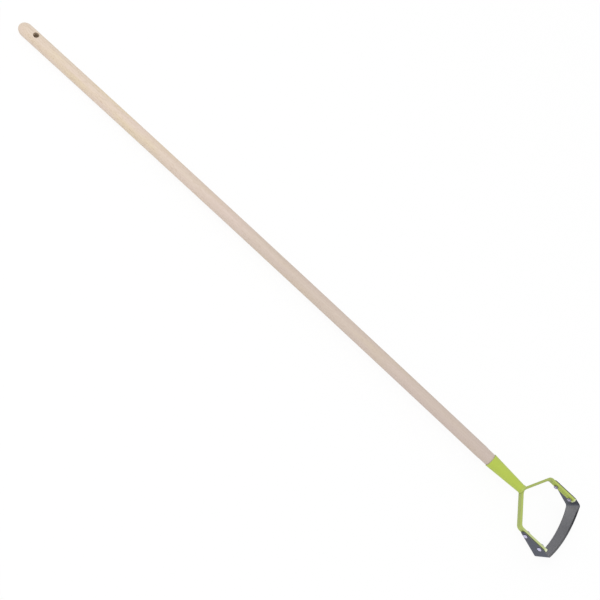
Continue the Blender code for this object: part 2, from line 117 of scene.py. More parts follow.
along = np.array((1, 0, 0))
across = np.array((0, math.cos(VIEW_TILT), math.sin(VIEW_TILT)))
towards_camera = np.array((0, -math.sin(VIEW_TILT), math.cos(VIEW_TILT)))
camera_right = math.cos(VIEW_ROLL) * along + math.sin(VIEW_ROLL) * across
camera_up = math.cos(VIEW_ROLL) * across - math.sin(VIEW_ROLL) * along
eye = np.array(LOOKS_AT) - LOOKS_ASIDE * across + CAMERA_DISTANCE * towards_camera
directions = place([camera_right, camera_up, towards_camera]) - TOOL_ORIGIN
turned = Matrix((directions / np.linalg.norm(directions, axis=1, keepdims=True)).tolist()).transposed()

camera = new_object("camera", bpy.data.cameras.new("camera"))
camera.matrix_world = Matrix.Translation(place(eye).tolist()) @ turned.to_4x4()
camera.data.sensor_width = SENSOR_WIDTH
camera.data.lens = SENSOR_WIDTH * CAMERA_DISTANCE / (PICTURE_PIXELS * MILLIMETRES_PER_PIXEL)
camera.data.clip_start = NEAREST_SEEN
bpy.context.scene.camera = camera
bpy.context.scene.view_settings.view_transform = "Standard"
print("lens", round(camera.data.lens, 2), "mm, eye at", np.round(place(eye), 3).tolist())

# %% [markdown]
# ## Colours and nodes
#
# Colours are written as they look on a screen, in hexadecimal, and one function turns them into the linear
# light that the renderer adds up. A second small function adds one node with its settings and its links.
# Every finish here is then made the same way, so each material reads as a list: tones laid over a base
# colour, each where a pattern or a place calls for it, and then a roughness and a fine relief.


# %% Helpers for materials
def linear(hex_colour):
    """A screen colour as linear light: x / 12.92 up to 0.04045, and ((x + 0.055) / 1.055) ** 2.4 above."""
    shown = np.array([int(hex_colour[i : i + 2], 16) for i in (1, 3, 5)]) / 255
    light = np.where(shown <= 0.04045, shown / 12.92, ((shown + 0.055) / 1.055) ** 2.4)
    return (*light.tolist(), 1.0)


def add(tree, kind, inputs=(), **settings):
    """Adds a node, whose kind is Blender's name for it after the word ShaderNode.

    Settings are the node's properties. Inputs gives each socket a value or another node's output.
    """
    made = tree.nodes.new("ShaderNode" + kind)
    for name, value in settings.items():
        setattr(made, name, value)
    for name, value in dict(inputs).items():
        if isinstance(value, bpy.types.NodeSocket):
            tree.links.new(value, made.inputs[name])
        else:
            made.inputs[name].default_value = value
    return made


def new_material(name, **constants):
    """A material with its shader's constant sockets set, such as roughness=0.4 for Roughness."""
    material = bpy.data.materials.new(name)
    material.use_nodes = True
    shader = material.node_tree.nodes["Principled BSDF"]
    for socket, value in constants.items():
        shader.inputs[socket.replace("_", " ").title().replace("Ior", "IOR")].default_value = value
    return material, material.node_tree, shader


# Where a Mix node of colours has its sockets
MIX_FACTOR, MIX_A, MIX_B, MIX_COLOUR = 0, 6, 7, 2


def layered(tree, base, layers):
    """A base colour with tones laid over it, one after another.

    A layer is what it follows, where that starts and ends, how strong the layer gets, and its tone. The
    tone's share rises evenly from 0 to its strength while what it follows goes from start to end.
    """
    colour = linear(base)
    for follows, start, end, most, tone in layers:
        limits = {"Value": follows, "From Min": start, "From Max": end, "To Max": most}
        share = add(tree, "MapRange", limits).outputs[0]
        inputs = {MIX_FACTOR: share, MIX_A: colour, MIX_B: linear(tone)}
        colour = add(tree, "Mix", inputs, data_type="RGBA").outputs[MIX_COLOUR]
    return colour


def dress(tree, shader, colour, pattern, relief, smooth, rough, strength, depth):
    """Links the colour, a roughness that goes from smooth to rough as the pattern rises, and the relief."""
    limits = {"Value": pattern, "To Min": smooth, "To Max": rough}
    roughness = add(tree, "MapRange", limits).outputs[0]
    heights = {"Height": relief, "Strength": strength, "Distance": depth}
    bump = add(tree, "Bump", heights).outputs[0]
    for output, socket in ((colour, "Base Color"), (roughness, "Roughness"), (bump, "Normal")):
        tree.links.new(output, shader.inputs[socket])


# %% [markdown]
# ## Ash
#
# The pole is turned ash, sanded and thinly oiled. Ash is pale, with wide growth rings that show as long
# streaks, fine fibres along the pole and short open pores. The rings are real rings here: circles round a
# pith that lies outside the pole, bent a little by slow noise along the length. So the streaks run together
# and apart along the pole as they do on a turned one.

# %% Ash material
RING_SPACING = 0.0035
PITH_OFFSET = (0.0, 0.034, 0.052)
RING_WANDER = (0.0, 0.010, 0.010)
# A wave texture at scale 1 has this many rings to the metre
WAVE_RINGS = 20 / math.tau
HOLE_X = 42.0
HOLE_Y = -3.86
HOLE_RADIUS = 5.7
HOLE_TURN = math.radians(5)

ash, tree, shader = new_material("oiled_ash", ior=1.5, coat_weight=0.12, coat_roughness=0.35)
position = add(tree, "TexCoord").outputs["Object"]
to_tool = {"Vector": position, "Rotation": BACK_TURN, "Location": BACK_MOVE}
pole = add(tree, "Mapping", to_tool).outputs[0]

# The rings wander 10 mm at most, over 300 mm along the pole and 22 mm across it
slow = add(tree, "Mapping", {"Vector": pole, "Scale": (3.2, 45, 45)}).outputs[0]
wander = add(tree, "TexNoise", {"Vector": slow, "Scale": 1, "Detail": 2}).outputs["Color"]
from_pith = add(tree, "VectorMath", {0: pole, 1: PITH_OFFSET}, operation="ADD").outputs[0]
bent = {0: wander, 1: RING_WANDER, 2: from_pith}
wandering = add(tree, "VectorMath", bent, operation="MULTIPLY_ADD").outputs[0]
waves = {"Vector": wandering, "Scale": 1 / (RING_SPACING * WAVE_RINGS)}
look = {"wave_type": "RINGS", "rings_direction": "X", "wave_profile": "SAW"}
rings = add(tree, "TexWave", waves, **look).outputs["Fac"]

# Fibres 1 mm wide and 40 mm long, streaks 6 mm by 400 mm, pores 0.4 mm by 8 mm, blushes 25 mm by 160 mm
# and tan patches 17 mm by 110 mm
grain = {}
for name, scale, detail in (
    ("fibres", (25, 1000, 1000), 3),
    ("streaks", (2.5, 170, 170), 2),
    ("pores", (120, 2500, 2500), 1),
    ("blushes", (6, 40, 40), 2),
    ("tans", (9, 60, 60), 1),
):
    space = add(tree, "Mapping", {"Vector": pole, "Scale": scale}).outputs[0]
    grain[name] = add(tree, "TexNoise", {"Vector": space, "Scale": 1, "Detail": detail}).outputs[0]

bore_move = (-HOLE_X * MILLIMETRE, -HOLE_Y * MILLIMETRE * math.cos(HOLE_TURN), 0)
to_bore = {"Vector": pole, "Rotation": (-HOLE_TURN, 0, 0), "Location": bore_move}
bore_space = add(tree, "Mapping", to_bore).outputs[0]
flat = add(tree, "VectorMath", {0: bore_space, 1: (1, 1, 0)}, operation="MULTIPLY").outputs[0]
from_bore = add(tree, "VectorMath", {0: flat}, operation="LENGTH").outputs["Value"]
length = add(tree, "SeparateXYZ", {"Vector": pole}).outputs["X"]

rim = HOLE_RADIUS * MILLIMETRE
wood_layers = (
    (rings, 0.0, 1.0, 1.0, "#D7C5B0"),
    (grain["streaks"], 0.35, 0.75, 0.8, "#D9C9B7"),
    (grain["blushes"], 0.40, 0.70, 0.6, "#E2CDC5"),
    (grain["tans"], 0.50, 0.72, 0.6, "#E0CFAC"),
    (grain["fibres"], 0.30, 0.80, 0.45, "#CEBBA6"),
    (grain["pores"], 0.60, 0.72, 1.0, "#BBA389"),
    # the pole turns greyer in two stretches along its length, towards the socket
    (length, 0.28, 0.70, 0.45, "#BBABA6"),
    (length, 0.85, 1.24, 0.4, "#BBABA6"),
    # painted shade: the wood inside the hanging hole is painted darker
    (from_bore, rim + 0.0005, rim + 0.0001, 0.35, "#A08A66"),
)
wood_colour = layered(tree, "#E6D8C6", wood_layers)
fibres, pores = grain["fibres"], grain["pores"]
relief = add(tree, "Math", {0: fibres, 1: pores}, operation="SUBTRACT").outputs[0]
dress(tree, shader, wood_colour, fibres, relief, smooth=0.48, rough=0.66, strength=0.5, depth=0.0001)
print("ash: rings every", RING_SPACING * 1000, "mm")

# %% [markdown]
# ## Lime powder coat
#
# The socket, the fork and the weld between them are coated together, after welding: a polyester powder is
# baked on, about a tenth of a millimetre thick. It levels out almost smooth, with the faint dimples that
# painters call orange peel, a little over a millimetre apart, and a half-gloss shine. On the bar of the
# fork it's thinner than on the socket, so the grey primer dulls it there. Shade is painted in as well: on
# the bar's back faces, on the arms' outer faces beside the tabs, and on the left side of the socket, bend
# and arm. The right arm's upper edge carries a painted highlight, and the arms' ends are the palest.

# %% Lime powder coat material
PEEL_SPACING = 0.0014
CLOUDS_PER_METRE = 45
BAR_START, BAR_FADE = 1.316, 0.004
ARMS_START, ARMS_FADE = 1.362, 0.006
TIPS_START, TIPS_FADE = 1.4150, 0.003

lime, tree, shader = new_material("lime_powder_coat", ior=1.5, roughness=0.36, specular_ior_level=0.4)
position = add(tree, "TexCoord").outputs["Object"]
clouds = add(tree, "TexNoise", {"Vector": position, "Scale": CLOUDS_PER_METRE, "Detail": 3}).outputs[0]
to_tool = {"Vector": position, "Rotation": BACK_TURN, "Location": BACK_MOVE}
in_tool = add(tree, "Mapping", to_tool).outputs[0]
length = add(tree, "SeparateXYZ", {"Vector": in_tool}).outputs["X"]
facing = add(tree, "TexCoord").outputs["Normal"]
facing_x, _, facing_z = add(tree, "SeparateXYZ", {"Vector": facing}).outputs
sideways = add(tree, "SeparateXYZ", {"Vector": position}).outputs["Y"]
off_middle = add(tree, "Math", {0: sideways}, operation="ABSOLUTE").outputs[0]

# Each share: what it follows, where that starts and ends, and how weak and how strong it gets
shares = {"clouds": clouds}
for name, follows, start, end, least, most in (
    ("bar", length, BAR_START - BAR_FADE, BAR_START + BAR_FADE, 0.0, 1.0),
    ("outer face", off_middle, 0.0658, 0.0666, 0.0, 0.8),
    ("upper edge", facing_z, 0.6, 0.9, 0.0, 1.0),
    ("sheared end", facing_x, 0.3, 0.7, 0.0, 1.0),
    ("tip", length, TIPS_START, TIPS_START + TIPS_FADE, 0.0, 0.9),
    ("back", facing_x, -0.4, -0.8, 0.0, 0.3),
    ("arm", length, ARMS_START - ARMS_FADE, ARMS_START + ARMS_FADE, 0.0, 0.75),
    ("before arm", length, ARMS_START + ARMS_FADE, ARMS_START - ARMS_FADE, 0.0, 0.45),
    ("right", sideways, 0.010, -0.010, 0.2, 1.0),
    ("left", sideways, 0.002, 0.016, 0.0, 1.0),
):
    limits = {"Value": follows, "From Min": start, "From Max": end, "To Min": least, "To Max": most}
    shares[name] = add(tree, "MapRange", limits).outputs[0]

# Two shares that hold together are multiplied; where either will do, the larger one counts
for name, one, operation, other in (
    ("right edge", "upper edge", "MULTIPLY", "right"),
    ("sheared", "right edge", "MAXIMUM", "sheared end"),
    # painted shade on the left side: the left arm, and more on the left bend and the socket's left flank
    ("shaded left arm", "left", "MULTIPLY", "arm"),
    ("shaded left bend", "left", "MULTIPLY", "before arm"),
    # painted shade on the bar's faces that face back towards the handle
    ("shaded back of bar", "back", "MULTIPLY", "bar"),
    # painted shade on the arms' outer faces beside the tabs
    ("shaded beside tab", "outer face", "MULTIPLY", "arm"),
    # a painted highlight on the right arm's upper edge, together with the arms' paler end faces
    ("highlight and pale ends", "sheared", "MULTIPLY", "arm"),
):
    inputs = {0: shares[one], 1: shares[other]}
    shares[name] = add(tree, "Math", inputs, operation=operation).outputs[0]

coat_tones = {
    "clouds": "#AFC048",
    "bar": "#ABBA60",
    "shaded left arm": "#ABBA48",
    "shaded left bend": "#97A35C",
    "shaded back of bar": "#7E8850",
    "shaded beside tab": "#6F7A3E",
    "highlight and pale ends": "#C3CC97",
    "tip": "#E3EABF",
}
coat_layers = [(shares[name], 0.0, 1.0, 1.0, tone) for name, tone in coat_tones.items()]
coat_colour = layered(tree, "#B6C852", coat_layers)
peel = add(tree, "TexNoise", {"Vector": position, "Scale": 1 / PEEL_SPACING, "Detail": 1}).outputs[0]
dress(tree, shader, coat_colour, clouds, peel, smooth=0.30, rough=0.42, strength=0.35, depth=0.00008)
print("lime powder coat: dimples every", PEEL_SPACING * 1000, "mm")

# %% [markdown]
# ## Hardened steel
#
# The blade is cold-rolled strip, hardened in oil, which leaves a dark grey skin. Painted shade makes the
# tabs darker and bluer. Rolling leaves faint lines along the strip, so this pattern follows the strip's
# own length through its UV map, whose units are metres. Both long edges of the band are ground, leaving
# short scratches across them. The band's left end has a painted highlight; its edges' right half is
# brighter.

# %% Hardened steel material
ROLLING_LINE_WIDTH = 0.0007
ROLLING_LINE_LENGTH = 0.040
BLOTCHES_PER_METRE = 70

steel, tree, shader = new_material("hardened_strip_steel", metallic=0.55)
strip = add(tree, "UVMap", uv_map="strip").outputs[0]
along_strip = {"Vector": strip, "Scale": (1 / ROLLING_LINE_LENGTH, 1 / ROLLING_LINE_WIDTH, 1)}
line_space = add(tree, "Mapping", along_strip).outputs[0]
lines = add(tree, "TexNoise", {"Vector": line_space, "Scale": 1, "Detail": 2}).outputs[0]
position = add(tree, "TexCoord").outputs["Object"]
blotches = add(tree, "TexNoise", {"Vector": position, "Scale": BLOTCHES_PER_METRE, "Detail": 4}).outputs[0]
sideways = add(tree, "SeparateXYZ", {"Vector": position}).outputs["Y"]
off_middle = add(tree, "Math", {0: sideways}, operation="ABSOLUTE").outputs[0]
steel_layers = (
    (blotches, 0.0, 1.0, 1.0, "#6F6F74"),
    (lines, 0.4, 0.8, 0.35, "#808086"),
    # painted highlight towards the band's left end
    (sideways, 0.020, 0.062, 0.55, "#909094"),
    # painted shade on the tabs, a little blue
    (off_middle, 0.0640, 0.0675, 1.0, "#525561"),
)
steel_colour = layered(tree, "#5F5F64", steel_layers)
dress(tree, shader, steel_colour, blotches, lines, smooth=0.40, rough=0.56, strength=0.3, depth=0.00004)

# %% Ground edge material
SCRATCH_SPACING = 0.0004
SCRATCH_LENGTH = 0.003

# a dark finish for the strip's long edges: ground on the band, and painted shade on the tabs' edges beside
# the arms
ground, tree, shader = new_material("ground_edge_and_painted_shade", metallic=1.0)
strip = add(tree, "UVMap", uv_map="strip").outputs[0]
across_strip = {"Vector": strip, "Scale": (1 / SCRATCH_SPACING, 1 / SCRATCH_LENGTH, 1)}
scratch_space = add(tree, "Mapping", across_strip).outputs[0]
scratches = add(tree, "TexNoise", {"Vector": scratch_space, "Scale": 1, "Detail": 2}).outputs[0]
position = add(tree, "TexCoord").outputs["Object"]
sideways = add(tree, "SeparateXYZ", {"Vector": position}).outputs["Y"]
edge_layers = ((scratches, 0.0, 1.0, 1.0, "#49494D"), (sideways, 0.030, -0.020, 1.0, "#6C6C70"))
edge_colour = layered(tree, "#38383B", edge_layers)
dress(tree, shader, edge_colour, scratches, scratches, smooth=0.30, rough=0.50, strength=0.4, depth=0.00004)
print("steel: rolling lines", ROLLING_LINE_WIDTH * 1000, "mm wide")

# %% [markdown]
# ## Bright zinc
#
# The bolts, nuts and the screw are steel plated with zinc and dipped in a clear blue passivate. That gives a
# bright, slightly blue metal with a faint yellow cast in places, and a surface a little softer than chrome.
# The nuts inside the fork, the bolts' inner ends and the screw are painted darker, as painted shade.

# %% Bright zinc material
CASTS_PER_METRE = 260
CRYSTALS_PER_METRE = 2500

zinc, tree, shader = new_material("blue_passivated_zinc", metallic=1.0)
position = add(tree, "TexCoord").outputs["Object"]
cast = add(tree, "TexNoise", {"Vector": position, "Scale": CASTS_PER_METRE, "Detail": 2}).outputs[0]
crystals = add(tree, "TexNoise", {"Vector": position, "Scale": CRYSTALS_PER_METRE, "Detail": 2}).outputs[0]
sideways = add(tree, "SeparateXYZ", {"Vector": position}).outputs["Y"]
off_middle = add(tree, "Math", {0: sideways}, operation="ABSOLUTE").outputs[0]
# painted shade on the zinc nearer the middle: the nuts, the bolts' inner ends and the screw
zinc_layers = ((cast, 0.4, 0.8, 1.0, "#CAC2CC"), (off_middle, 0.0640, 0.0615, 1.0, "#A5A1B4"))
zinc_colour = layered(tree, "#C4C3E2", zinc_layers)
dress(tree, shader, zinc_colour, crystals, crystals, smooth=0.20, rough=0.36, strength=0.2, depth=0.00002)
print("materials:", [material.name for material in (ash, lime, steel, ground, zinc)])

# %% [markdown]
# ## Surfaces from grids
#
# Every new piece is a grid of points: rows along the piece and columns round it. The points are worked out
# as whole arrays. One function joins neighbouring points into faces, closes the grid round where it must
# meet itself, and welds the points that fall together at a pole or a seam.

# %% Grid surfaces
SHARP_ANGLE = math.radians(24)
SAME_POINT = 1e-7


def grid_mesh(name, points, close_rows=False, close_columns=True, lengths=None):
    """A mesh over points[row, column]: face (i, j) joins rows i and i + 1 with columns j and j + 1.

    A closed direction joins its last row or column to its first. Lengths, where given, holds two metres
    values per point and becomes the UV map named strip. Normals are turned outwards at the end.
    """
    rows, columns = points.shape[:2]
    row = np.arange(rows if close_rows else rows - 1)[:, None]
    column = np.arange(columns if close_columns else columns - 1)[None, :]
    next_row, next_column = (row + 1) % rows, (column + 1) % columns
    corners = (row * columns + column, row * columns + next_column)
    corners += (next_row * columns + next_column, next_row * columns + column)
    quads = np.stack(np.broadcast_arrays(*corners), axis=-1).reshape(-1, 4)
    mesh = bpy.data.meshes.new(name)
    mesh.from_pydata(place(points).reshape(-1, 3), [], quads.tolist())
    if lengths is not None:
        layer = mesh.uv_layers.new(name="strip")
        layer.data.foreach_set("uv", lengths.reshape(-1, 2)[quads.reshape(-1)].astype(np.float32).ravel())
    shape = bmesh.new()
    shape.from_mesh(mesh)
    bmesh.ops.remove_doubles(shape, verts=shape.verts, dist=SAME_POINT)
    bmesh.ops.recalc_face_normals(shape, faces=shape.faces)
    shape.to_mesh(mesh)
    shape.free()
    return mesh


def cut(mesh, cutters):
    """The mesh with each cutter mesh taken away, by exact Boolean modifiers that are applied at once."""
    body = new_object("body", mesh)
    helpers = [body]
    for cutter in cutters:
        helper = new_object("cutter", cutter)
        helpers.append(helper)
        modifier = body.modifiers.new("cut", "BOOLEAN")
        modifier.operation = "DIFFERENCE"
        modifier.solver = "EXACT"
        modifier.object = helper
    graph = bpy.context.evaluated_depsgraph_get()
    made = bpy.data.meshes.new_from_object(body.evaluated_get(graph))
    for helper in helpers:
        bpy.data.objects.remove(helper)
    return made


def show(name, mesh, materials, node):
    """Shows the mesh as the piece that stands for a CAD node, riding on the tool's one body.

    It's shaded smooth, with a crease wherever two faces meet at more than the sharp angle.
    """
    made = new_object(name, mesh)
    mesh.materials.clear()
    for material in materials:
        mesh.materials.append(material)
    mesh.shade_smooth()
    mesh.set_sharp_from_angle(angle=SHARP_ANGLE)
    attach(made, "root")
    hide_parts(node)
    lowest, highest = made.bound_box[0], made.bound_box[6]
    off = np.abs(np.array((lowest, highest)) - np.array(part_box(node))).max() / MILLIMETRE
    print(f"{name}: {len(mesh.polygons)} faces, box within {off:.2f} mm of its CAD node")


# %% [markdown]
# ## Handle
#
# A turned pole is a stack of circles whose centres follow its slight bow: point (x, angle) is at
# (x, bow(x) + r(x) cos angle, r(x) sin angle). The radius rises over a rounded butt end, stays almost even,
# drops into a short neck before the socket, and tapers inside it. The hanging hole is drilled afterwards.

# %% Handle
SOCKET_START = 1235.0
SOCKET_LENGTH = 82.8
SOCKET_MOUTH_RADIUS = 14.10
SOCKET_END_RADIUS = 8.8
SOCKET_WALL = 1.5
GAP = 0.3
HANDLE_START = 1.15
HANDLE_RADIUS = 13.75
HANDLE_LOW_RADIUS = 13.5
HANDLE_NECK_RADIUS = 13.0
HANDLE_DOME = 17.0
NECK_LENGTH = 17.0
NECK_SLOPE = 5.0
HANDLE_IN_SOCKET = 66.0
HANDLE_LEAN = 7.5
HANDLE_BOW = 11.9
ROUND_STEPS = 72
DOME_ROWS = 28
POLE_ROWS = 160
NECK_ROWS = 9


def side_offset(x):
    """How far the pole's centre stands to +y: lean times s less bow times s squared, s from the socket."""
    share = np.clip((SOCKET_START - x) / SOCKET_START, 0, None)
    return HANDLE_LEAN * share - HANDLE_BOW * share**2


def socket_radius(x):
    """The socket's outer radius, x millimetres from its mouth: a straight taper."""
    return SOCKET_MOUTH_RADIUS + (SOCKET_END_RADIUS - SOCKET_MOUTH_RADIUS) * x / SOCKET_LENGTH


def whole_turn(steps):
    """Equal steps of angle round a whole turn, as one row."""
    return np.linspace(0, math.tau, steps, endpoint=False)[None, :]


def turned_solid(x, radius, centre_y=0.0, steps=ROUND_STEPS):
    """Circles of the given radii about the x axis: (x, centre + r cos angle, r sin angle)."""
    angle = whole_turn(steps)
    x, radius, centre_y = (np.broadcast_to(value, x.shape)[:, None] for value in (x, radius, centre_y))
    return xyz(x, centre_y + radius * np.cos(angle), radius * np.sin(angle))


dome_angle = np.linspace(0, math.pi / 2, DOME_ROWS)
neck = SOCKET_START - NECK_LENGTH
pole_share = np.linspace(0, 1, POLE_ROWS)[1:]
pole_start = HANDLE_START + HANDLE_DOME
neck_share = np.linspace(0, 1, NECK_ROWS)[1:]
ease = (1 - np.cos(math.pi * neck_share)) / 2
handle_x = np.concatenate(
    (
        HANDLE_START + HANDLE_DOME * (1 - np.cos(dome_angle)),
        pole_start + (neck - NECK_SLOPE - pole_start) * pole_share,
        neck - NECK_SLOPE + NECK_SLOPE * neck_share,
        SOCKET_START - NECK_SLOPE + (NECK_SLOPE - GAP) * neck_share,
        np.full(2, SOCKET_START + HANDLE_IN_SOCKET),
    )
)
mouth_radius = socket_radius(0) - SOCKET_WALL - GAP
end_radius = socket_radius(HANDLE_IN_SOCKET) - SOCKET_WALL - GAP
handle_radius = np.concatenate(
    (
        HANDLE_RADIUS * np.sin(dome_angle),
        HANDLE_RADIUS + (HANDLE_LOW_RADIUS - HANDLE_RADIUS) * pole_share**3,
        HANDLE_LOW_RADIUS + (HANDLE_NECK_RADIUS - HANDLE_LOW_RADIUS) * ease,
        HANDLE_NECK_RADIUS + (mouth_radius - HANDLE_NECK_RADIUS) * neck_share**2,
        (end_radius, 0.0),
    )
)
handle_mesh = grid_mesh("handle", turned_solid(handle_x, handle_radius, side_offset(handle_x)))

# %% [markdown]
# The hanging hole is a drilled hole whose rim was eased with a countersink, so the cutter is a rod that
# flares where it leaves the wood: r(z) = hole radius + flare times the square of how far z is past the rim.

# %% Hanging hole and screw hole
HOLE_FLARE = 0.5
FLARE_START = 12.2
FLARE_LENGTH = 1.6
PAST_WOOD = 18.0
HOLE_ROWS = 61
SCREW_X = 30.0
SCREW_RADIUS = 1.75
SCREW_LENGTH = 16.0
PAST_WALL = 3.0


def upright_solid(z, radius, centre, turn=0.0, steps=48):
    """Circles about an upright axis through centre, tipped by turn about x, closed at both ends."""
    closed_radius = np.concatenate(([0], radius, [0]))
    rings = turned_solid(np.concatenate((z[:1], z, z[-1:])), closed_radius, steps=steps)
    height, across_y, across_x = np.moveaxis(rings, -1, 0)
    y = across_y * math.cos(turn) - height * math.sin(turn)
    z = across_y * math.sin(turn) + height * math.cos(turn)
    return xyz(across_x, y, z) + np.array(centre)


hole_z = np.linspace(-PAST_WOOD, PAST_WOOD, HOLE_ROWS)
past_rim = np.clip((np.abs(hole_z) - FLARE_START) / FLARE_LENGTH, 0, 1.5)
hole_centre = (HOLE_X, HOLE_Y, 0.0)
hole_radius = HOLE_RADIUS + HOLE_FLARE * past_rim**2
hole = grid_mesh("hole", upright_solid(hole_z, hole_radius, hole_centre, HOLE_TURN))
screw_seat = float(socket_radius(SCREW_X)) + GAP
bore_z = np.array((-screw_seat - PAST_WALL, SCREW_LENGTH - screw_seat + GAP))
bore_centre = (SOCKET_START + SCREW_X, 0.0, 0.0)
screw_bore = grid_mesh("screw_bore", upright_solid(bore_z, np.full(2, SCREW_RADIUS + GAP), bore_centre))
show("ash_handle", cut(handle_mesh, [hole, screw_bore]), [ash], "handle")

# %% [markdown]
# ## Socket
#
# The socket is a tube drawn to a taper, with its mouth rolled smooth and one shallow groove pressed round
# it. Its wall is one closed ring of profile points carried round the axis: along the outside from the small
# end to the mouth, over the rounded lip, and back along the inside.

# %% Socket
GROOVE_X = 16.0
GROOVE_HALF_WIDTH = 1.8
GROOVE_DEPTH = 0.25
LIP_RISE = 0.1
LIP_LENGTH = 2.5
ROLL_RADIUS = SOCKET_WALL / 2
ROLL_END = 0.8
FINE_START, FINE_ROWS = 21.5, 84
COARSE_END, COARSE_ROWS = 22.0, 40

coarse_x = np.linspace(SOCKET_LENGTH, COARSE_END, COARSE_ROWS)
outside_x = np.concatenate((coarse_x, np.linspace(FINE_START, ROLL_END, FINE_ROWS)))
in_groove = np.clip(1 - ((outside_x - GROOVE_X) / GROOVE_HALF_WIDTH) ** 2, 0, None) ** 2
on_lip = np.clip(1 - outside_x / LIP_LENGTH, 0, 1)
outside_radius = socket_radius(outside_x) - GROOVE_DEPTH * in_groove + LIP_RISE * np.sqrt(on_lip)
roll_angle = np.linspace(math.pi / 2, -math.pi / 2, 13)[1:-1]
lip_x = ROLL_RADIUS * (1 - np.cos(roll_angle))
lip_radius = socket_radius(0) - ROLL_RADIUS + ROLL_RADIUS * np.sin(roll_angle)
inside_x = np.linspace(ROLL_END, SOCKET_LENGTH, 24)
profile_x = np.concatenate((outside_x, lip_x, inside_x))
profile_radius = np.concatenate((outside_radius, lip_radius, socket_radius(inside_x) - SOCKET_WALL))
socket_surface = turned_solid(SOCKET_START + profile_x, profile_radius, steps=96)
socket_mesh = grid_mesh("socket", socket_surface, close_rows=True)
show("socket_tube", cut(socket_mesh, [screw_bore]), [lime], "socket")

# %% [markdown]
# ## Fork
#
# The fork is one flat bar, 12 by 5 mm, bent three times. A bent bar is its section carried along a path, so
# two things are needed: the path, straight runs joined by arcs, and the section, a rectangle with the
# slightly rounded edges of rolled bar. The arms' ends are sheared off, a little unevenly, and eased above
# and below, so the section's height shrinks over the last millimetre.


# %% Paths with rounded corners
def rounded_path(corners, radii, arc_steps):
    """Points and left-hand normals along straight runs, joined by arcs that touch both runs of a corner."""
    corners = np.array(corners, float)
    runs = np.diff(corners, axis=0)
    runs /= np.linalg.norm(runs, axis=1, keepdims=True)
    left = np.stack((-runs[:, 1], runs[:, 0]), axis=1)
    points, normals = [corners[:1]], [left[:1]]
    for i, radius in enumerate(radii):
        turning = math.atan2(np.cross(runs[i], runs[i + 1]), runs[i] @ runs[i + 1])
        start = corners[i + 1] - runs[i] * radius * math.tan(abs(turning) / 2)
        side = math.copysign(radius, turning)
        angle = np.linspace(0, turning, arc_steps)[:, None]
        normal = left[i] * np.cos(angle) - runs[i] * np.sin(angle)
        points.append(start + left[i] * side - normal * side)
        normals.append(normal)
    return np.concatenate((*points, corners[-1:])), np.concatenate((*normals, left[-1:]))


def carried(path, normals, out, up):
    """Section points carried along a flat path: path + normal times out, at height up."""
    x = path[:, 0, None] + normals[:, 0, None] * out
    y = path[:, 1, None] + normals[:, 1, None] * out
    return xyz(x, y, up)


def capped(rings):
    """The rings, closed at both ends: one more ring there, shrunk to the mean point of the last one."""
    first, last = (np.broadcast_to(ring.mean(axis=0), ring.shape)[None] for ring in (rings[0], rings[-1]))
    return np.concatenate((first, rings, last))


# %% Fork
HEAD_DROP = 3.0
BAR_WIDTH = 12.0
BAR_THICKNESS = 5.0
BAR_EDGE_RADIUS = 0.9
FORK_HALF_WIDTH = 64.2
FORK_APEX_X = 1318.3
FORK_ELBOW_X = 1354.4
LEFT_TIP_X = 1418.8
RIGHT_TIP_X = 1421.6
CROTCH_RADIUS = 16.0
ELBOW_RADIUS = 9.0
TIP_CORNER = 1.0
TIP_CUT_BACK = 1.4
TIP_CUT_HEIGHT = 4.0
TIP_ROWS = 24
ARC_ROWS = 20


def rounded_box(half_thickness, low, high, radius, corner_steps=6):
    """A rectangle with round corners, as (out, up) arrays: corner centre + radius (cos angle, sin angle)."""
    quarter = np.linspace(0, math.pi / 2, corner_steps)
    angle = (np.arange(4)[:, None] * math.pi / 2 + quarter).ravel()
    side = np.repeat((1, -1, -1, 1), corner_steps)
    top = np.repeat((1, 1, 0, 0), corner_steps)
    low, high, radius = (np.asarray(value, float)[:, None] for value in (low, high, radius))
    out = side * (half_thickness - radius) + radius * np.cos(angle)
    up = np.where(top == 1, high - radius, low + radius) + radius * np.sin(angle)
    return out, up


def corner_cut(reach, height, from_end):
    """What an elliptical corner takes off an edge at from_end before its end: h (1 - sqrt(1 - share^2))."""
    share = np.clip(1 - from_end / reach, 0, 1)
    return height * (1 - np.sqrt(1 - share**2))


fork_corners = [
    (RIGHT_TIP_X - TIP_CUT_BACK, -FORK_HALF_WIDTH),
    (FORK_ELBOW_X, -FORK_HALF_WIDTH),
    (FORK_APEX_X, 0),
    (FORK_ELBOW_X, FORK_HALF_WIDTH),
    (LEFT_TIP_X - TIP_CUT_BACK, FORK_HALF_WIDTH),
]
fork_path, fork_normals = rounded_path(fork_corners, (ELBOW_RADIUS, CROTCH_RADIUS, ELBOW_RADIUS), ARC_ROWS)
tip_angle = np.linspace(math.pi / 2, 0, TIP_ROWS)[1:]
from_tip = TIP_CUT_BACK * (1 - np.cos(tip_angle))
right_tip = np.stack((RIGHT_TIP_X - from_tip, np.full_like(from_tip, -FORK_HALF_WIDTH)), axis=1)
left_tip = np.stack((LEFT_TIP_X - from_tip, np.full_like(from_tip, FORK_HALF_WIDTH)), axis=1)
full_path = np.concatenate((right_tip[::-1], fork_path, left_tip))
full_normals = np.pad(fork_normals, ((len(from_tip), len(from_tip)), (0, 0)), mode="edge")
to_tip = np.where(full_path[:, 1] < 0, RIGHT_TIP_X, LEFT_TIP_X) - full_path[:, 0]
bar_low = corner_cut(TIP_CUT_BACK, TIP_CUT_HEIGHT, to_tip) - BAR_WIDTH / 2
bar_high = BAR_WIDTH / 2 - corner_cut(TIP_CORNER, TIP_CORNER, to_tip)
edge_radius = np.minimum(BAR_EDGE_RADIUS, (bar_high - bar_low) / 3)
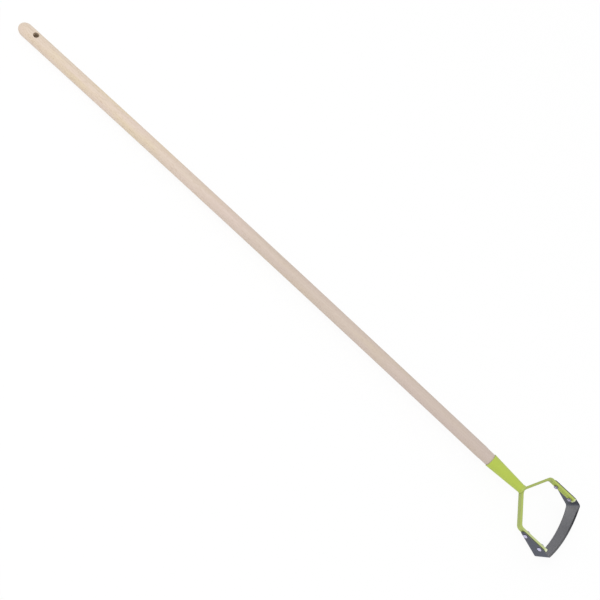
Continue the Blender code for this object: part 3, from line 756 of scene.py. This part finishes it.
bar_out, bar_up = rounded_box(BAR_THICKNESS / 2, bar_low, bar_high, edge_radius)
bar_rings = carried(full_path, full_normals, bar_out, bar_up - HEAD_DROP)
fork_mesh = grid_mesh("fork", capped(bar_rings))

# %% [markdown]
# ## Bolt holes
#
# The arms are drilled round for the bolts. The blade's tabs are punched square, because each bolt has a
# square neck under its head that keeps it from turning while its nut is done up.

# %% Bolt holes
BOLT_X = (1374.0, 1410.0)
BOLT_DROP = 4.3
ARM_HOLE_RADIUS = 2.75
TAB_HOLE_HALF = 2.8
ACROSS_HEAD = 90.0


def crosswise(solid, x):
    """Turns a solid made about the x axis so that it lies across the head, at x along the tool."""
    length, first, second = np.moveaxis(solid, -1, 0)
    return xyz(x + first, length, second - BOLT_DROP)


rod_x = np.array((-ACROSS_HEAD, -ACROSS_HEAD, ACROSS_HEAD, ACROSS_HEAD))
drill = turned_solid(rod_x, np.array((0, ARM_HOLE_RADIUS, ARM_HOLE_RADIUS, 0)), steps=40)
punch = turned_solid(rod_x, np.array((0, TAB_HOLE_HALF, TAB_HOLE_HALF, 0)) * math.sqrt(2), steps=4)
quarter_turn = np.array(((1, 0, 0), (0, 1, -1), (0, 1, 1))) / np.array((1, math.sqrt(2), math.sqrt(2)))
drills = [grid_mesh("drill", crosswise(drill, x)) for x in BOLT_X]
punches = [grid_mesh("punch", crosswise(punch @ quarter_turn.T, x)) for x in BOLT_X]
show("fork_bar", cut(fork_mesh, drills), [lime], "fork")

# %% [markdown]
# ## Blade
#
# The blade is one strip with two sharp bends, where the band turns into the tabs. It is a path again, but
# the strip is tilted 21 degrees to the handle, and its two edges aren't parallel: each tab narrows towards
# its end along the arm, and both edges of the band sink towards its middle. Both edges of the band are
# ground from the inside, so the section has two slopes there that fade out before the bends.

# %% Blade path and edges
STRIP_WIDTH = 32.8
STRIP_THICKNESS = 2.0
BLADE_TILT = math.radians(21)
BAND_SAG = 13.68
FRONT_DIP = 4.0
BACK_BULGE = 1.76
FOLD_RADIUS = 6.0
FOLD_FROM_BOLT = 57.4
STRIP_BELOW_BOLT = 13.2
TAB_END = -10.2
TAB_END_BELOW_BOLT = 6.6
TAB_EDGE_FROM_BOLT = 4.5
TAB_CORNER = 1.8
GRIND_WIDTH = 3.0
GRIND_EDGE = 0.6
GRIND_RUN_OUT = 12.0
DEBURR = 0.3
BAND_ROWS = 81
TAB_ROWS = 34

tab_y = FORK_HALF_WIDTH + BAR_THICKNESS / 2 + GAP + STRIP_THICKNESS / 2
band_radius = (tab_y**2 + BAND_SAG**2) / (2 * BAND_SAG)
band_centre = FOLD_FROM_BOLT + BAND_SAG - band_radius
spread = math.asin(tab_y / band_radius)
chord = math.pi / 2 - spread
fold_reach = FOLD_RADIUS * math.tan(chord / 2)
fold_turn = np.linspace(0, chord, 10)
fold_x = FOLD_FROM_BOLT - fold_reach + FOLD_RADIUS * np.sin(fold_turn)
fold_y = tab_y - FOLD_RADIUS * (1 - np.cos(fold_turn))
start_angle = spread - fold_reach / band_radius
band_angle = np.linspace(start_angle, -start_angle, BAND_ROWS)[1:-1]
corner_x = TAB_END + TAB_CORNER * (1 - np.cos(np.linspace(0, math.pi / 2, 8)))
straight_x = np.linspace(TAB_END + TAB_CORNER, FOLD_FROM_BOLT - fold_reach, TAB_ROWS)[1:-1]
tab_x = np.concatenate((corner_x, straight_x))
tab_path = np.stack((tab_x, np.full_like(tab_x, tab_y)), axis=1)
half_path = np.concatenate((tab_path, np.stack((fold_x, fold_y), axis=1)))
band_x = band_centre + band_radius * np.cos(band_angle)
band_path = np.stack((band_x, band_radius * np.sin(band_angle)), axis=1)
blade_path = np.concatenate((half_path, band_path, half_path[::-1] * (1, -1)))
blade_run = np.gradient(blade_path, axis=0)
blade_run /= np.linalg.norm(blade_run, axis=1, keepdims=True)
inwards = np.stack((blade_run[:, 1], -blade_run[:, 0]), axis=1)
print("band radius", round(band_radius, 1), "mm, path of", len(blade_path), "points")

# %% [markdown]
# The tab's upper edge runs parallel to the arm, so in the strip's tilted axes it climbs with tan(tilt) until
# it reaches the strip's full width. Its end has two small round corners.

# %% Blade surface
from_end = blade_path[:, 0] - TAB_END
band_share = np.clip(np.abs(blade_path[:, 1]) / tab_y, 0, 1)
on_band = np.abs(blade_path[:, 1]) < tab_y - FOLD_RADIUS / 2
tab_share = np.clip(from_end / (FOLD_FROM_BOLT - TAB_END), 0, 1)
tab_low = -TAB_END_BELOW_BOLT - (STRIP_BELOW_BOLT - TAB_END_BELOW_BOLT) * tab_share
full_high = STRIP_WIDTH - STRIP_BELOW_BOLT
beside_arm = blade_path[:, 0] * math.tan(BLADE_TILT) + TAB_EDGE_FROM_BOLT / math.cos(BLADE_TILT)
end_corner = corner_cut(TAB_CORNER, TAB_CORNER, from_end)
band_low = -STRIP_BELOW_BOLT - BACK_BULGE * (1 - band_share**2)
strip_low = np.where(on_band, band_low, tab_low + end_corner)
band_high = full_high - FRONT_DIP * (1 - band_share**2)
strip_high = np.where(on_band, band_high, np.minimum(full_high, beside_arm) - end_corner)
ground_share = np.clip((tab_y - FOLD_RADIUS / 2 - np.abs(blade_path[:, 1])) / GRIND_RUN_OUT, 0, 1)
grind = DEBURR + (GRIND_WIDTH - DEBURR) * ground_share
blunt = STRIP_THICKNESS - DEBURR
edge = blunt + (GRIND_EDGE - blunt) * ground_share
half = STRIP_THICKNESS / 2
level = np.full_like(edge, half)
strip_out = np.stack((-level, -level, edge - half, level, level, edge - half), axis=1)
inner_high, inner_low = strip_high - grind, strip_low + grind
strip_up = np.stack((strip_low, strip_high, strip_high, inner_high, inner_low, strip_low), axis=1)
flat_x, flat_y, flat_up = np.moveaxis(carried(blade_path, inwards, strip_out, strip_up), -1, 0)
blade_x = BOLT_X[0] + flat_x * math.cos(BLADE_TILT) + flat_up * math.sin(BLADE_TILT)
blade_z = -HEAD_DROP - flat_x * math.sin(BLADE_TILT) + flat_up * math.cos(BLADE_TILT)
blade_points = xyz(blade_x, flat_y, blade_z)
steps = np.linalg.norm(np.diff(blade_path, axis=0), axis=1)
run_length = np.broadcast_to(np.concatenate(([0], np.cumsum(steps)))[:, None], strip_up.shape)
strip_lengths = np.stack((run_length, strip_up), axis=-1) * MILLIMETRE
strip_lengths = np.concatenate((strip_lengths[:1], strip_lengths, strip_lengths[-1:]))
blade_mesh = grid_mesh("blade", capped(blade_points), lengths=strip_lengths)
blade_mesh = cut(blade_mesh, punches)

# %% Which faces are ground
GROUND_SLOPE = 0.12

# Slot 1 is for the sheared and ground edges: faces whose normal leans along the strip's tilted width
normals = np.empty(len(blade_mesh.polygons) * 3, np.float32)
blade_mesh.polygons.foreach_get("normal", normals)
width_way = place([(math.sin(BLADE_TILT), 0, math.cos(BLADE_TILT))])[0] - TOOL_ORIGIN
width_way /= np.linalg.norm(width_way)
# on the tabs' edges beside the arms, slot 1's dark finish is painted shade
slots = (np.abs(normals.reshape(-1, 3) @ width_way) > GROUND_SLOPE).astype(np.int32)
show("stirrup_blade", blade_mesh, [steel, ground], "blade")
blade_mesh.polygons.foreach_set("material_index", slots)
print("ground faces:", int(slots.sum()))

# %% [markdown]
# ## Bolts and nuts
#
# A bolt is turned: a low domed head, a square neck, and a threaded shank. The thread is a ridge that climbs
# one pitch per turn, so the shank's radius at (height, angle) is a triangle wave of height / pitch less the
# share of a turn. The nut is a hexagon whose corners are turned off by a 30 degree cone at both faces.

# %% Bolt
BOLT_RADIUS = 2.4
BOLT_LENGTH = 12.0
HEAD_RADIUS = 4.4
HEAD_HEIGHT = 2.4
BOLT_NECK_HALF = 2.5
BOLT_NECK_LENGTH = 2.2
NECK_EDGE = 0.3
NECK_POWER = 12
THREAD_PITCH = 0.8
THREAD_DEPTH = 0.45
THREAD_END = 0.4
THREAD_ROWS = 110
CREST_FLATNESS = 1.15
BOLT_STEPS = 48
CROWN_START = math.radians(12)
CROWN_ROWS = 16
# A low dome starts with this share of its height, and the rest rises as a part of a circle does
DOME_RIM = 0.3


def head_profile(radius, height):
    """(height, radius) of a low dome: a rim a fifth as high, then a crown whose height goes with a sine."""
    crown = np.linspace(CROWN_START, math.pi / 2, CROWN_ROWS)
    dome_height = height * (DOME_RIM + (1 - DOME_RIM) * np.sin(crown))
    dome_radius = radius * np.cos(crown)
    return np.concatenate(([0, height / 5], dome_height)), np.concatenate(([radius] * 2, dome_radius))


def squircle(angle, half_side, power):
    """The radius at an angle of a square with rounded corners, by the superellipse formula."""
    return half_side / (np.abs(np.cos(angle)) ** power + np.abs(np.sin(angle)) ** power) ** (1 / power)


bolt_angle = whole_turn(BOLT_STEPS)
head_height, head_radius = head_profile(HEAD_RADIUS, HEAD_HEIGHT)
head_rows = np.broadcast_to(head_radius[::-1, None], (len(head_radius), BOLT_STEPS))
neck_height = np.array((0, NECK_EDGE - BOLT_NECK_LENGTH, -BOLT_NECK_LENGTH))
neck_half = BOLT_NECK_HALF - np.array((0, 0, NECK_EDGE / 3))
neck_rows = squircle(bolt_angle, neck_half[:, None], NECK_POWER)
thread_height = np.linspace(-BOLT_NECK_LENGTH, THREAD_END - BOLT_LENGTH, THREAD_ROWS)
turns = thread_height[:, None] / THREAD_PITCH - bolt_angle / math.tau
ridge = 1 - 2 * np.abs(turns % 1 - 0.5)
fade = np.clip((thread_height + BOLT_LENGTH) / THREAD_PITCH, 0, 1)[:, None]
thread_rows = BOLT_RADIUS - THREAD_DEPTH * np.maximum(1 - ridge * CREST_FLATNESS, 1 - fade)
end_rows = np.broadcast_to(np.array((BOLT_RADIUS - THREAD_DEPTH, 0.0))[:, None], (2, BOLT_STEPS))
bolt_height = np.concatenate((head_height[::-1], neck_height, thread_height, (-BOLT_LENGTH, -BOLT_LENGTH)))
bolt_rows = np.concatenate((head_rows, neck_rows, np.clip(thread_rows, 0, BOLT_RADIUS), end_rows))


def across_tool(height, radius, angle, x, side, seat):
    """A turned piece set across the head: its height runs outwards from the seat, on side +1 or -1."""
    first = x + radius * np.cos(angle)
    second = -BOLT_DROP + radius * np.sin(angle)
    return xyz(first, side * (seat + height), second)


# %% Nut
NUT_HALF = 4.0
NUT_HEIGHT = 2.7
NUT_BORE = 2.45
BORE_EDGE = 0.35
CHAMFER_SLOPE = math.tan(math.radians(30))
WASHER_FACE_SHARE = 0.95
NUT_STEPS = 96

nut_angle = whole_turn(NUT_STEPS)
hexagon = NUT_HALF / np.cos((nut_angle + math.pi / 6) % (math.pi / 3) - math.pi / 6)
washer_face = NUT_HALF * WASHER_FACE_SHARE
face_share = np.linspace(0, 1, 7)[:, None]
rim = washer_face + (hexagon - washer_face) * face_share
rim_drop = (rim - washer_face) * CHAMFER_SLOPE
bore = np.full((1, nut_angle.size), NUT_BORE)
throat = np.full((1, nut_angle.size), NUT_BORE + BORE_EDGE)
face_rows = np.concatenate((bore, throat, rim))
face_height = np.concatenate((np.full_like(bore, BORE_EDGE), np.zeros_like(bore), rim_drop))
nut_rows = np.concatenate((face_rows, face_rows[::-1]))
nut_height = np.concatenate((face_height, NUT_HEIGHT - face_height[::-1]))

# %% Set the bolts and nuts in place
HEAD_SEAT = FORK_HALF_WIDTH + BAR_THICKNESS / 2 + GAP + STRIP_THICKNESS + GAP
NUT_SEAT = FORK_HALF_WIDTH - BAR_THICKNESS / 2 - GAP - NUT_HEIGHT

for number, x in enumerate(BOLT_X, start=1):
    for side, word in ((1, "left"), (-1, "right")):
        bolt = across_tool(bolt_height[:, None], bolt_rows, bolt_angle, x, side, HEAD_SEAT)
        bolt_mesh = grid_mesh(f"bolt_{number}_{word}", bolt)
        show(f"coach_bolt_{number}_{word}", bolt_mesh, [zinc], f"bolt_{number}_{word}")
        nut = across_tool(nut_height, nut_rows, nut_angle, x, side, NUT_SEAT)
        nut_mesh = grid_mesh(f"nut_{number}_{word}", nut, close_rows=True)
        show(f"hexagon_nut_{number}_{word}", nut_mesh, [zinc], f"nut_{number}_{word}")

# %% [markdown]
# ## Weld
#
# The small end of the socket is closed by the weld that joins it to the fork's bend. The welder lays puddle
# over puddle round the tube and up over the top of the bar, and files the top round. So the weld is a turned
# solid, a fillet behind and a low dome in front, whose radius ripples along the ring. Then the room that the
# bar takes is cut away: everything behind a circle about the bend's centre, up to the bar's top.

# %% Weld
WELD_LENGTH = 2.4
WELD_RADIUS = 9.7
WELD_DOME = 5.2
RIPPLES = 26
RIPPLE_DEPTH = 0.02
SUNK_IN_BAR = 0.2
DOME_SMOOTH_FROM = math.radians(50)
TOE_THICKNESS = 0.05
WELD_STEPS = 208
ROOM_DEPTH = 3 * WELD_RADIUS
ROOM_STEPS = 49

socket_end = SOCKET_START + SOCKET_LENGTH
toe_share = np.linspace(0, 1, 9)[:-1]
toe_x = socket_end - WELD_LENGTH * (1 - toe_share)
toe_radius = socket_radius(toe_x - SOCKET_START)
toe_radius += TOE_THICKNESS + (WELD_RADIUS - toe_radius) * np.sin(toe_share * math.pi / 2)
dome_turn = np.linspace(0, math.pi / 2, 24)
inside_x = np.array((socket_end + GAP, socket_end + GAP, toe_x[0]))
inside_radius = np.array((0, socket_radius(SOCKET_LENGTH), socket_radius(toe_x[0] - SOCKET_START)))
weld_x = np.concatenate((inside_x, toe_x, socket_end + WELD_DOME * np.sin(dome_turn)))
weld_radius = np.concatenate((inside_radius, toe_radius, WELD_RADIUS * np.cos(dome_turn)))
weld_solid = turned_solid(weld_x, weld_radius, steps=WELD_STEPS)
weld_angle = whole_turn(WELD_STEPS)
dome_fade = np.clip(1 - dome_turn / DOME_SMOOTH_FROM, 0, 1) ** 2
rippling = np.concatenate((np.zeros(len(inside_x)), np.sin(toe_share * math.pi / 2), dome_fade))
ripple = 1 - RIPPLE_DEPTH * np.abs(np.sin(weld_angle * RIPPLES / 2)) * rippling[:, None]
weld_solid[..., 1:] *= ripple[..., None]

bend_slope = math.atan2(FORK_HALF_WIDTH, FORK_ELBOW_X - FORK_APEX_X)
bend_centre = FORK_APEX_X + CROTCH_RADIUS / math.sin(bend_slope)
back_radius = CROTCH_RADIUS + BAR_THICKNESS / 2 - SUNK_IN_BAR
bar_top = BAR_WIDTH / 2 - HEAD_DROP - SUNK_IN_BAR
back_turn = np.linspace(-math.pi / 2, math.pi / 2, ROOM_STEPS)
back_x = bend_centre - back_radius * np.cos(back_turn)
back_y = back_radius * np.sin(back_turn)
room_z = np.array((-ROOM_DEPTH, bar_top))[:, None]
room_mesh = grid_mesh("room", capped(xyz(back_x, back_y, room_z)))
weld_mesh = cut(grid_mesh("weld", weld_solid), [room_mesh])
show("weld_bead", weld_mesh, [lime], "fork_weld")

# %% [markdown]
# ## Screw
#
# One pan-head screw, driven from below through the socket's wall, keeps the pole from pulling out. The head
# is a height field over its own disc: the dome's height, less a cross-shaped recess that is deepest where
# its two arms meet.

# %% Screw
SCREW_HEAD_RADIUS = 3.5
SCREW_HEAD_HEIGHT = 2.2
RECESS_HALF_WIDTH = 0.45
RECESS_REACH = 1.9
RECESS_DEPTH = 1.1
RECESS_SIDE_SLOPE = 0.15
RECESS_END_SLOPE = 0.4
SCREW_STEPS = 96

screw_angle = whole_turn(SCREW_STEPS)
disc_radius = SCREW_HEAD_RADIUS * np.linspace(0, 1, 40)[:, None]
dome_share = np.sqrt(np.clip(1 - (disc_radius / SCREW_HEAD_RADIUS) ** 2, 0, 1))
dome_height = SCREW_HEAD_HEIGHT * (DOME_RIM + (1 - DOME_RIM) * dome_share)
disc_u, disc_v = disc_radius * np.cos(screw_angle), disc_radius * np.sin(screw_angle)
nearer, farther = np.minimum(np.abs(disc_u), np.abs(disc_v)), np.maximum(np.abs(disc_u), np.abs(disc_v))
in_cross = np.clip((RECESS_HALF_WIDTH - nearer) / RECESS_SIDE_SLOPE, 0, 1)
in_cross *= np.clip((RECESS_REACH - farther) / RECESS_END_SLOPE, 0, 1)
head_surface = dome_height - RECESS_DEPTH * in_cross
head_disc = np.broadcast_to(disc_radius, head_surface.shape)
below_head = np.array((0.0, 0.0, 2 * SCREW_RADIUS - SCREW_LENGTH, -SCREW_LENGTH))[:, None]
shank_radius = np.array((SCREW_HEAD_RADIUS, SCREW_RADIUS, SCREW_RADIUS, 0))[:, None]
screw_height = np.concatenate((head_surface, np.broadcast_to(below_head, (4, screw_angle.size))))
screw_radius = np.concatenate((head_disc, np.broadcast_to(shank_radius, (4, screw_angle.size))))
screw_x = SOCKET_START + SCREW_X + screw_radius * np.cos(screw_angle)
screw_y = screw_radius * np.sin(screw_angle)
screw_points = xyz(screw_x, screw_y, -(screw_seat + screw_height))
show("pan_head_screw", grid_mesh("screw", screw_points), [zinc], "handle_screw")

# %% [markdown]
# ## Floor and light
#
# The photograph is a cut-out on white. The floor here is a plain white sheet. A camera ray sees it mostly as
# white paper at full brightness, with a share left of its real, lit surface, which keeps a faint shadow.
# Metals see it the same way. The light is soft: an even sky and one large panel beside the camera.


# %% Floor
FLOOR_HALF = 15
SHADOW_SHARE = 0.09


def looked_at(tree):
    """1 for a ray that looks, from the camera, a mirror or glass, and 0 for one that only gathers light."""
    path = add(tree, "LightPath").outputs
    seen = path["Is Camera Ray"]
    for kind in ("Is Glossy Ray", "Is Transmission Ray"):
        seen = add(tree, "Math", {0: seen, 1: path[kind]}, operation="MAXIMUM").outputs[0]
    return seen


floor_material, tree, shader = new_material("white_paper_sheet", roughness=0.9, specular_ior_level=0.1)
shader.inputs["Base Color"].default_value = linear("#FDFDFD")
seen = looked_at(tree)
share = add(tree, "Math", {0: seen, 1: 1 - SHADOW_SHARE}, operation="MULTIPLY").outputs[0]
white = add(tree, "Emission", {"Color": (1, 1, 1, 1), "Strength": 1.0}).outputs[0]
sheet = add(tree, "MixShader", {0: share, 1: shader.outputs[0], 2: white}).outputs[0]
tree.links.new(sheet, tree.nodes["Material Output"].inputs["Surface"])

floor_mesh = bpy.data.meshes.new("floor")
floor_corners = np.array(((-1, -1, 0), (1, -1, 0), (1, 1, 0), (-1, 1, 0))) * FLOOR_HALF
floor_mesh.from_pydata(floor_corners, [], [(0, 1, 2, 3)])
floor_mesh.materials.append(floor_material)
floor = new_object("floor", floor_mesh)

# %% Light
SKY_STRENGTH = 0.82
PANEL_SIZE = 1.7
PANEL_DISTANCE = 4.5
PANEL_WATTS = 50
PANEL_WAY = (-0.30, -0.28, 0.92)

world = bpy.data.worlds.new("studio")
world.use_nodes = True
bpy.context.scene.world = world
tree = world.node_tree
lit = tree.nodes["Background"]
lit.inputs["Color"].default_value = (1, 1, 1, 1)
lit.inputs["Strength"].default_value = SKY_STRENGTH
shown = add(tree, "Background", {"Color": (1, 1, 1, 1), "Strength": 1.0}).outputs[0]
sky = add(tree, "MixShader", {0: looked_at(tree), 1: lit.outputs[0], 2: shown}).outputs[0]
tree.links.new(sky, tree.nodes["World Output"].inputs["Surface"])

panel = new_object("panel", bpy.data.lights.new("panel", "AREA"))
panel.data.shape = "SQUARE"
panel.data.size = PANEL_SIZE
panel.data.energy = PANEL_WATTS
target = Vector(place(LOOKS_AT).tolist())
panel_way = Vector(PANEL_WAY).normalized()
panel.location = target + panel_way * PANEL_DISTANCE
panel.rotation_euler = panel_way.to_track_quat("Z", "Y").to_euler()
print("panel at", [round(value, 2) for value in panel.location])
